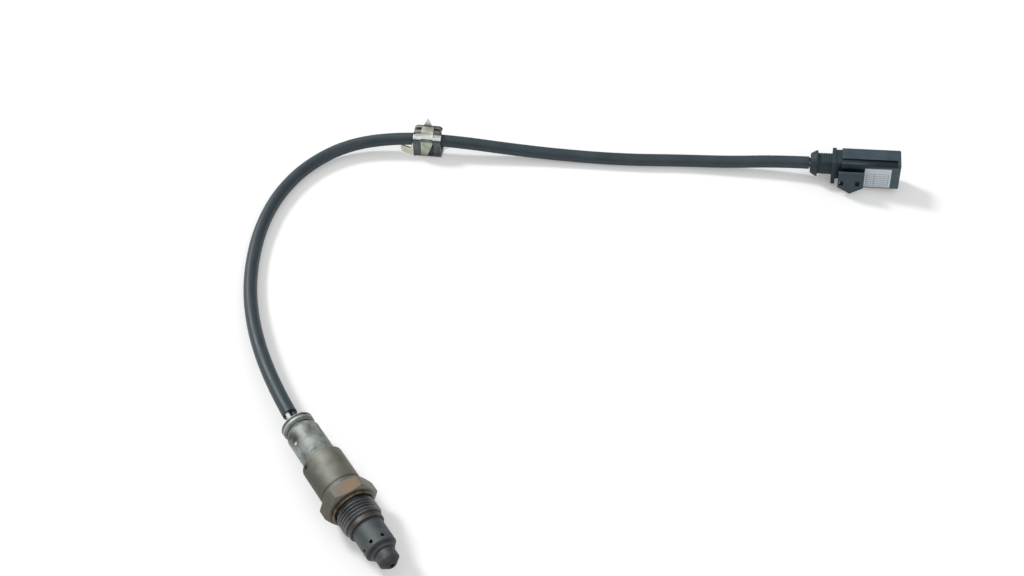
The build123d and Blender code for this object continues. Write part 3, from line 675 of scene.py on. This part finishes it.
def tube_steel():
    """Matt steel, blue grey from heat, darker on the shoulder."""
    material, tree, shader = start_finish("tube_steel", tube_light, 0.50, 1.0)
    place = lay_pattern(tree)
    cloud = speckle(tree, place, 240)
    plain = shade_between(tree, cloud, tube_dark, tube_light)
    on_corner = near(tree, axis_value(tree, place, "X"), *tube_corner)
    colour = blend_colours(tree, on_corner, plain, tube_shadow)
    lay_finish(tree, shader, colour, spread(tree, cloud, 0.60, 0.74))
    emboss(tree, shader, speckle(tree, lay_pattern(tree, scale=(6, 1, 1)), 900, 2.0), 0.02)
    return material


def nose_steel():
    """Matt dark steel, darker towards its end."""
    material, tree, shader = start_finish("nose_steel", nose_light, 0.66, 1.0)
    place = lay_pattern(tree)
    plain = shade_between(tree, speckle(tree, place, 300), nose_dark, nose_light)
    toward_end = spread(tree, axis_value(tree, place, "X"), 0, 1, end_dark_start * mm, end_dark_full * mm)
    lay_finish(tree, shader, blend_colours(tree, toward_end, plain, nose_end_dark))
    emboss(tree, shader, speckle(tree, place, 2200), 0.02)
    return material


def dress(node_name, material):
    """Gives one of the CAD model's pieces its finish and leaves its shape as it is."""
    nodes[node_name].data.materials.clear()
    nodes[node_name].data.materials.append(material)


dress("outer_tube", tube_steel())
dress("inner_tube", nose_steel())


# Lower sleeve: a drawn steel cup pressed on the housing's tail and staked once near its shoulder.
# Its end is closed in on the upper sleeve. It is satin, warm grey with a faint haze from heat.
lower_front = -14.3
lower_rear = -33.4
lower_radius = 9.55
lower_opening = 7.2
sleeve_wall = 0.8
stake_x = -31.4
stake_angle = math.radians(-60)
stake_reach = 1.5
stake_depth = 0.42
stake_skin = 0.5
lower_dark = (0.160, 0.165, 0.146)
lower_light = (0.285, 0.288, 0.252)
lower_warm = (0.22, 0.185, 0.15)
lower_roughness = (0.58, 0.72)
lower_cloudiness = 120
# Painted shade by the hexagon's step, on the left side and in the stake dent, and painted light on the
# top.
lower_painted_shading = [
    ((0.100, 0.100, 0.090), (-15.5, 0.9), None, None),
    ((0.110, 0.110, 0.096), None, (-10.5, 5.5), None),
    ((0.320, 0.322, 0.290), (-29.5, 5.5), (1.0, 5.0), (9.5, 4.0)),
    ((0.020, 0.020, 0.020), (stake_x, 1.5), (-8.0, 1.6), (4.6, 2.2)),
]
lower_outline = close_rows(soften([
    (lower_front, lower_radius - sleeve_wall, 0.1), (lower_front, lower_radius, 0.25),
    (lower_rear, lower_radius, 1.1), (lower_rear, lower_opening, 0.15),
    (lower_rear + sleeve_wall, lower_opening, 0.1),
    (lower_rear + sleeve_wall, lower_radius - sleeve_wall, 0.5),
], 8), 0.35)


def lower_outline_at(angle):
    """Outline of the lower sleeve with its stake mark pushed in."""
    turned = (angle - stake_angle + math.pi) % math.tau - math.pi
    pushed = []
    for x, r in lower_outline:
        away = math.hypot(x - stake_x, turned * lower_radius) / stake_reach
        depth = stake_depth * max(0.0, 1 - away * away) ** 1.5
        pushed.append((x, r - depth if r > lower_radius - stake_skin else r))
    return pushed


def sleeve_steel(name, dark, light, roughness, cloudiness, painted_shading, warm=None):
    """Satin drawn steel with soft clouding, faint lines round it and painted shade and highlights.

    A painted mark is a colour and, for each coordinate, its middle and reach, None being everywhere.
    """
    material, tree, shader = start_finish(name, light, sum(roughness) / 2, 1.0)
    place = lay_pattern(tree)
    cloud = speckle(tree, place, cloudiness, 6.0, 0.6)
    colour = shade_between(tree, cloud, dark, light, 0.32, 0.66)
    if warm:
        patch = speckle(tree, lay_pattern(tree, shift=(0.3, 0.1, 0.2)), 60)
        colour = blend_colours(tree, spread(tree, patch, 0.0, 1.0, 0.45, 0.70), colour, warm)
    for shading_colour, *reaches in painted_shading:
        masks = [
            near(tree, axis_value(tree, place, axis), *reach)
            for axis, reach in zip("XYZ", reaches) if reach
        ]
        colour = blend_colours(tree, all_of(tree, *masks), colour, shading_colour)
    lay_finish(tree, shader, colour, spread(tree, cloud, *roughness))
    emboss(tree, shader, speckle(tree, lay_pattern(tree, scale=(8, 1, 1)), 600, 2.0), 0.025)
    return material


lower_mesh = turn_mesh("lower_sleeve_cup", lower_outline_at, 160)
lower_steel = sleeve_steel(
    "lower_sleeve_steel", lower_dark, lower_light, lower_roughness, lower_cloudiness,
    lower_painted_shading, lower_warm,
)
add_piece("lower_sleeve_cup", lower_mesh, lower_steel, "lower_sleeve_steel", "lower_sleeve")


# Upper sleeve: a narrower drawn steel cup, crimped on the grommet by three long dents and a rolled
# groove, with a folded collar at its end. It is the palest of the sensor's steel pieces.
upper_neck = 7.15
upper_barrel = 7.7
groove_radius = 6.5
collar_front = -54.6
collar_rear = -57.3
collar_radius = 7.5
collar_opening = 5.25
dent_middle = -47.0
dent_half_length = 1.5
dent_reach = 2.6
dent_depth = 0.95
dent_count = 3
first_dent = -57
dent_angles = [math.radians(first_dent + 360 / dent_count * dent) for dent in range(dent_count)]
upper_dark = (0.150, 0.166, 0.157)
upper_light = (0.430, 0.458, 0.432)
upper_roughness = (0.54, 0.72)
upper_cloudiness = 210
# Painted shade round the dent, in the groove, in the collar's fold and at the lower sleeve; painted
# highlights in the dent and on the collar.
upper_painted_shading = [
    ((0.070, 0.078, 0.072), (dent_middle, 6.0), (-5.8, 4.5), (4.5, 5.0)),
    ((0.90, 0.93, 0.92), (dent_middle + 1.2, 1.1), (-5.9, 1.0), (3.6, 1.8)),
    ((0.075, 0.083, 0.080), (-53.4, 0.8), None, None),
    ((0.55, 0.59, 0.59), (-55.2, 0.45), None, None),
    ((0.040, 0.044, 0.044), (-56.4, 0.35), None, None),
    ((0.080, 0.086, 0.082), (-33.0, 1.4), None, None),
]
upper_outline = close_rows(soften([
    (-31.8, 6.35, 0.2), (-31.8, 8.6, 0.2), (-32.6, 8.6, 0.1), (-32.6, upper_neck, 0),
    (-34.2, upper_neck, 2.0), (-36.6, upper_barrel - 0.04, 4.0), (-43.0, upper_barrel, 0),
    (-50.9, upper_barrel - 0.02, 1.6), (-53.1, groove_radius, 0.9), (-53.8, groove_radius, 0.4),
    (collar_front + 0.1, collar_radius - 0.1, 0.3), (-55.0, collar_radius, 0.3),
    (-56.05, collar_radius, 0.12), (-56.4, collar_radius - 0.4, 0.05), (-56.75, collar_radius, 0.12),
    (collar_rear, collar_radius, 0.25), (collar_rear, collar_opening, 0.1),
    (collar_rear + sleeve_wall, collar_opening, 0.1), (collar_rear + sleeve_wall, 5.7, 0),
    (-53.8, 5.7, 0.3), (-53.1, 5.7, 0.6), (-50.9, 6.9, 1.2), (-36.6, 6.9, 2.0), (-34.2, 6.35, 1.5),
], 6), 0.3)


def upper_outline_at(angle):
    """Outline of the upper sleeve with its crimp dents pushed in, softly, through the wall."""
    outline = []
    for x, r in upper_outline:
        depth = 0.0
        for dent_angle in dent_angles:
            turned = (angle - dent_angle + math.pi) % math.tau - math.pi
            past_end = max(abs(x - dent_middle) - dent_half_length, 0.0)
            away = math.hypot(past_end, turned * upper_barrel) / dent_reach
            depth += dent_depth * max(0.0, 1 - away * away) ** 1.5
        outline.append((x, r - depth))
    return outline


upper_mesh = turn_mesh("upper_sleeve_cup", upper_outline_at, 160)
upper_steel = sleeve_steel(
    "upper_sleeve_steel", upper_dark, upper_light, upper_roughness, upper_cloudiness, upper_painted_shading
)
add_piece("upper_sleeve_cup", upper_mesh, upper_steel, "upper_sleeve_steel", "upper_sleeve")


# Leads: four silicone-covered wires, two white for the heater, one black and one grey for the signal.
# They show only where they leave the collar and, as a sliver, between the hose and the boot.
white_dark = (0.62, 0.62, 0.60)
white_light = (0.80, 0.80, 0.78)
black_dark = (0.012, 0.012, 0.014)
black_light = (0.03, 0.03, 0.033)
grey_dark = (0.12, 0.12, 0.125)
grey_light = (0.19, 0.19, 0.195)


def lead_skin(name, dark, light):
    """Smooth insulation, very slightly soiled."""
    material, tree, shader = start_finish(name, light, 0.42)
    cloud = speckle(tree, lay_pattern(tree), 500)
    lay_finish(tree, shader, shade_between(tree, cloud, dark, light))
    return material


white_skin = lead_skin("lead_white", white_dark, white_light)
dress("lead_white_upper", white_skin)
dress("lead_white_lower", white_skin)
dress("lead_black", lead_skin("lead_black", black_dark, black_light))
dress("lead_grey", lead_skin("lead_grey", grey_dark, grey_light))


# Clip: one folded strip of bright spring steel round the hose, with a lanced tongue on its front, two
# rolled ridges on top, a flared ear at the left and a barbed tip. It hooks on a bracket in the car.
clip_bevel = 0.10
clip_half_width = 7.7
clip_flat_top = 4.4
roll_rise = 2.2
roll_round = 2.0
roll_drop = 1.5
tip_front = 2.95
tip_rear = 3.95
tip_root = 6.5
tip_top = 12.2
tip_half = 2.2
tip_spread = 1.2
tip_lean = 0.5
clip_before = Vector(hose_route[9]) * mm
clip_after = Vector(hose_route[10]) * mm
clip_along = (clip_after - clip_before).normalized()
clip_cuts = (5.9, 6.6, 7.2)
# Painted light on one steel: a highlight on the bend, dark reflections on rolls and panel, warm
# reflections on lances and bridge, light on the ear, shade in the lance slot.
bend_painted_highlight = ((0.80, 0.85, 0.84), (0.95, 0.98, 0.96))
roll_dark_reflection = ((0.12, 0.12, 0.11), (0.30, 0.30, 0.28))
panel_dark_reflection = ((0.062, 0.072, 0.073), (0.134, 0.152, 0.154))
lance_warm_reflection = ((0.255, 0.282, 0.222), (0.435, 0.472, 0.392))
lance_slot_shade = (0.05, 0.05, 0.05)
ear_painted_light = (0.76, 0.78, 0.66)
bridge_warm_reflection = (0.61, 0.63, 0.53)
tip_grey = (0.62, 0.64, 0.62)


def soft_copy(node_name, name, bevel, bevel_steps=3, sharp_from=35):
    """Copy of a solid's mesh, its facets joined to whole faces and its edges rounded by a bevel."""
    node = nodes[node_name]
    mesh = node.data.copy()
    mesh.name = name
    mesh.transform(node.matrix_world)
    shape = bmesh.new()
    shape.from_mesh(mesh)
    bmesh.ops.remove_doubles(shape, verts=shape.verts, dist=0.000002)
    bmesh.ops.dissolve_limit(
        shape, angle_limit=math.radians(0.5), verts=shape.verts, edges=shape.edges
    )
    shape.to_mesh(mesh)
    shape.free()
    piece = bpy.data.objects.new(name + "_blank", mesh)
    bpy.context.scene.collection.objects.link(piece)
    rounding = piece.modifiers.new("rounding", "BEVEL")
    rounding.width = bevel * mm
    rounding.segments = bevel_steps
    rounding.limit_method = "ANGLE"
    rounding.angle_limit = math.radians(sharp_from)
    rounding.use_clamp_overlap = True
    soft = bake(piece)
    bpy.data.objects.remove(piece)
    soft.shade_smooth()
    soft.set_sharp_from_angle(angle=math.radians(40))
    return soft


def place_in(frame_matrix):
    """Turn and shift that lay a pattern in a piece's own frame."""
    inverse = frame_matrix.inverted()
    return {"turn": tuple(inverse.to_euler("XYZ")), "shift": tuple(inverse.to_translation())}


def frame_along(origin, along):
    """Frame with its x along a direction, its y level and its origin at a place."""
    across = Vector((0, 0, 1)).cross(along).normalized()
    up = along.cross(across)
    axes = Matrix((along, across, up)).transposed().to_4x4()
    return Matrix.Translation(origin) @ axes


clip_frame = frame_along((clip_before + clip_after) / 2 - clip_along * mm, clip_along)


def ease_clip(mesh):
    """Rounds the outer corners of the clip's two rolls and leans its barbed tip to the left."""
    shape = bmesh.new()
    shape.from_mesh(mesh)
    to_clip = clip_frame.inverted()
    for cut in clip_cuts:
        for side in (-1, 1):
            bmesh.ops.bisect_plane(
                shape, geom=shape.verts[:] + shape.edges[:] + shape.faces[:],
                plane_co=clip_frame @ Vector((side * cut * mm, 0, 0)), plane_no=clip_along,
            )
    for corner in shape.verts:
        place = to_clip @ corner.co / mm
        if tip_front < place.y < tip_rear and place.z > tip_root and abs(place.x) < tip_half:
            place.x = place.x * tip_spread - tip_lean * (tip_top - place.z) / (tip_top - tip_root)
        else:
            outward = max(abs(place.x) - (clip_half_width - roll_round), 0) / roll_round
            raised = min(max(place.z - clip_flat_top, 0) / roll_rise, 1)
            place.z -= roll_drop * outward ** 2 * raised
        corner.co = clip_frame @ (place * mm)
    shape.to_mesh(mesh)
    shape.free()
    mesh.shade_smooth()
    mesh.set_sharp_from_angle(angle=math.radians(40))
    return mesh


def span(axis, start, end, edge):
    """The two edges, each that wide, of an area that reaches from a start to an end."""
    return [(axis, start, start + edge), (axis, end, end - edge)]


bend_front = ("Y", -3.0, -3.2)
# Areas of painted highlight, reflection and shade, each laid over the last.
clip_areas = [
    (roll_dark_reflection, [("Z", 4.7, 5.2), ("Y", -2.6, -2.0)]),
    (panel_dark_reflection, [("Z", 3.5, 3.0)]),
    (lance_slot_shade, [*span("X", -3.3, 3.3, 0.1), *span("Z", 1.2, 4.25, 0.2), bend_front]),
    (lance_warm_reflection, [*span("X", -2.9, 2.9, 0.2), *span("Z", 1.2, 4.0, 0.2), bend_front]),
    (lance_warm_reflection, [("Y", -5.15, -5.3)]),
    (ear_painted_light, [("X", -7.7, -7.9)]),
    (bridge_warm_reflection, [*span("X", -3.4, 3.4, 0.1), ("Z", 5.4, 5.8), ("Y", 3.0, 2.0)]),
    (tip_grey, [("Z", 7.2, 7.8)]),
]


def clip_steel():
    """Spring steel with painted light: highlight on the bend, dark reflections, warm ones on lances and
    ear.
    """
    material, tree, shader = start_finish("clip_steel", (0.5, 0.5, 0.5), 0.30, 1.0)
    place = lay_pattern(tree, **place_in(clip_frame))
    cloud = speckle(tree, place, 420)
    colour = shade_between(tree, cloud, *bend_painted_highlight)
    for over, edges in clip_areas:
        if isinstance(over[0], tuple):
            over = shade_between(tree, cloud, *over)
        colour = paint_area(tree, place, colour, over, edges)
    lay_finish(tree, shader, colour, spread(tree, cloud, 0.26, 0.42))
    return material


add_piece(
    "spring_clip", ease_clip(soft_copy("cable_clip", "spring_clip", clip_bevel)), clip_steel(),
    "clip_steel", "cable_clip",
)


# Plug: a moulded housing of dark blue-grey plastic with a bracket on its front, closed at the rear by a
# cap with a ribbed neck and a flared boot. Its far end is open and holds a black block with four pins.
plug_bevel = 0.3
cap_bevel = 0.18
boot_bevel = 0.2
boot_gap = 0.6
plug_axis_height = 10.3
plug_front = -6.6
plug_top = 16.6
groove_start = 16.5
groove_end = 45.4
groove_front = -5.3
groove_back = -2.3
groove_faint = 0.62
groove_fade = (18 * mm, 34 * mm)
window_middles = (16.7, 25.1)
window_half = 1.2
plastic_specular = 0.28
cap_dark = (0.018, 0.034, 0.041)
cap_light = (0.031, 0.051, 0.061)
housing_dark = (0.032, 0.053, 0.069)
housing_light = (0.051, 0.079, 0.099)
groove_shade = (0.005, 0.010, 0.014)
land_shade = (0.008, 0.014, 0.019)
slot_shade = (0.003, 0.006, 0.008)
window_shade = (0.004, 0.008, 0.010)
# Painted light on the plug's front face near the label, in patches.
front_painted_light = (0.098, 0.142, 0.170)
hose_end = Vector(hose_route[-1])
plug_along = (hose_end - Vector(hose_route[-2])).normalized()
plug_across = Vector((0, 0, 1)).cross(plug_along).normalized()
plug_up = plug_along.cross(plug_across)
plug_origin = hose_end + plug_along * boot_gap - plug_up * plug_axis_height
plug_frame = frame_along(plug_origin * mm, plug_along)
groove_area = [
    *span("Y", groove_front - 0.3, groove_back + 0.3, 0.3),
    *span("Z", plug_top - 1.6, plug_top - 0.1, 0.2),
    *span("X", groove_start, groove_end, 0.2),
]
land_area = [
    *span("Y", plug_front - 0.3, groove_front + 0.1, 0.2),
    ("Z", plug_top - 1.9, plug_top - 1.2),
    ("X", 24.0, 36.0),
    ("X", groove_end + 0.2, groove_end - 0.2),
]
# Where the painted light on the front face lies.
front_light_area = [
    ("Y", plug_front + 0.3, plug_front), ("X", 34.0, 43.0), ("Z", plug_top - 1.6, plug_top - 2.6),
]
slot_area = [
    *span("X", 14.4, 28.6, 0.2), *span("Y", plug_front - 0.5, plug_front + 3.0, 0.3),
    *span("Z", 2.0, 13.6, 0.5),
]
window_areas = [
    [
        *span("X", middle - window_half, middle + window_half, 0.1), *span("Z", 5.5, 8.7, 0.1),
        ("Y", plug_front, plug_front - 0.5),
    ]
    for middle in window_middles
]


def moulded(name, dark, light, roughness):
    """Moulded plastic with a fine grain and faint clouding, painted shade near black in its groove and
    openings, painted light on its front.
    """
    material, tree, shader = start_finish(name, light, roughness)
    shader.inputs["Specular IOR Level"].default_value = plastic_specular
    place = lay_pattern(tree, **place_in(plug_frame))
    cloud = speckle(tree, place, 130)
    colour = shade_between(tree, cloud, dark, light)
    along = axis_value(tree, place, "X")
    toward_mouth = spread(tree, along, groove_faint, 1.0, *groove_fade)
    colour = paint_area(tree, place, colour, groove_shade, groove_area, toward_mouth)
    colour = paint_area(tree, place, colour, land_shade, land_area)
    colour = paint_area(tree, place, colour, front_painted_light, front_light_area, spread(tree, cloud, 0.4, 1.0))
    colour = paint_area(tree, place, colour, slot_shade, slot_area)
    for window_area in window_areas:
        colour = paint_area(tree, place, colour, window_shade, window_area)
    lay_finish(tree, shader, colour, spread(tree, cloud, roughness - 0.05, roughness + 0.07))
    emboss(tree, shader, speckle(tree, place, 3200, 2.0), 0.03)
    return material


cap_plastic = moulded("cap_plastic", cap_dark, cap_light, 0.54)
housing_plastic = moulded("housing_plastic", housing_dark, housing_light, 0.52)
add_piece(
    "plug_shell", soft_copy("plug_housing", "plug_shell", plug_bevel), housing_plastic,
    "plug_plastic", "plug_housing",
)
add_piece(
    "rear_cap", soft_copy("plug_rear_cap", "rear_cap", cap_bevel), cap_plastic,
    "cap_plastic", "plug_rear_cap",
)
add_piece(
    "flared_boot", soft_copy("plug_boot", "flared_boot", boot_bevel), cap_plastic,
    "cap_plastic", "plug_boot",
)


# Label: a bluish white paper sticker on the plug's front, beside the bracket. A plain form of two
# columns and six rows is ruled on it in grey.
label_start = 28.6
label_length = 13.7
label_bottom = 1.15
label_height = 12.6
form_inset = 1.2
form_headroom = 3.6
form_left = label_start + form_inset
form_right = label_start + label_length - form_inset
form_bottom = label_bottom + form_inset
form_top = label_bottom + label_height - form_headroom
form_rows = 6
form_columns = (0.0, 0.35, 1.0)
form_line = 0.22
form_margin = 0.1
paper_dark = (0.62, 0.70, 0.745)
paper_light = (0.70, 0.775, 0.82)
form_grey = (0.16, 0.19, 0.21)


def within(tree, value, start, end):
    """1 between two places in millimetres and 0 elsewhere, with a sharp edge."""
    away = combine(tree, "SUBTRACT", value, (start + end) / 2 * mm)
    return combine(tree, "LESS_THAN", combine(tree, "ABSOLUTE", away, 0), (end - start) / 2 * mm)


def label_paper():
    """Bluish white paper with a plain form ruled on it in pale grey."""
    material, tree, shader = start_finish("label_paper", paper_light, 0.45)
    place = lay_pattern(tree, **place_in(plug_frame))
    paper = shade_between(tree, speckle(tree, place, 200), paper_dark, paper_light)
    along = axis_value(tree, place, "X")
    up = axis_value(tree, place, "Z")
    rows = [form_bottom + (form_top - form_bottom) * row / form_rows for row in range(form_rows + 1)]
    columns = [form_left + (form_right - form_left) * column for column in form_columns]
    lines = [near(tree, up, row, form_line) for row in rows]
    lines += [near(tree, along, column, form_line) for column in columns]
    ruled = lines[0]
    for line in lines[1:]:
        ruled = combine(tree, "MAXIMUM", ruled, line)
    ruled = all_of(
        tree, ruled, within(tree, along, form_left - form_margin, form_right + form_margin),
        within(tree, up, form_bottom - form_margin, form_top + form_margin),
    )
    lay_finish(tree, shader, blend_colours(tree, ruled, paper, form_grey))
    return material


dress("plug_label", label_paper())


# Inside: the ceramic strip and blocks, talc, contacts and rubber in the sensor, and the wire seal,
# block and pins in the plug. They show only through openings, so each has a plain, fine-grained finish.
element_white = (0.80, 0.78, 0.73)
ceramic_cream = (0.76, 0.73, 0.66)
talc_grey = (0.62, 0.62, 0.58)
inner_grey = (0.36, 0.36, 0.36)
contact_yellow = (0.55, 0.52, 0.45)
grommet_black = (0.030, 0.030, 0.033)
block_black = (0.030, 0.031, 0.034)
pin_silver = (0.62, 0.61, 0.57)
inner_shading = 0.82


def plain_finish(name, colour, roughness, metallic, grain):
    """One colour with faint clouding and a grain, grain being its number of lumps in a metre."""
    material, tree, shader = start_finish(name, colour, roughness, metallic)
    cloud = speckle(tree, lay_pattern(tree), grain)
    dark = tuple(inner_shading * part for part in colour)
    lay_finish(tree, shader, shade_between(tree, cloud, dark, colour))
    emboss(tree, shader, cloud, 0.02)
    return material


ceramic = plain_finish("block_ceramic", ceramic_cream, 0.6, 0.0, 900)
grommet_rubber = plain_finish("grommet_rubber", grommet_black, 0.65, 0.0, 1200)
inner_steel = plain_finish("inner_steel", inner_grey, 0.38, 1.0, 500)
contact_metal = plain_finish("contact_metal", contact_yellow, 0.3, 1.0, 700)
for node_name, finish in (
    ("sensing_element", plain_finish("element_ceramic", element_white, 0.55, 0.0, 1500)),
    ("front_insulator", ceramic),
    ("rear_insulator", ceramic),
    ("contact_holder_upper", ceramic),
    ("contact_holder_lower", ceramic),
    ("powder_seal", plain_finish("talc", talc_grey, 0.8, 0.0, 2500)),
    ("clamping_ring", inner_steel),
    ("holder_band", inner_steel),
    ("contact_springs", contact_metal),
    ("crimp_sleeves", contact_metal),
    ("wire_grommet", grommet_rubber),
    ("wire_seal", grommet_rubber),
    ("terminal_block", plain_finish("block_plastic", block_black, 0.5, 0.0, 1500)),
    ("plug_pins", plain_finish("pin_tin", pin_silver, 0.25, 1.0, 900)),
):
    dress(node_name, finish)
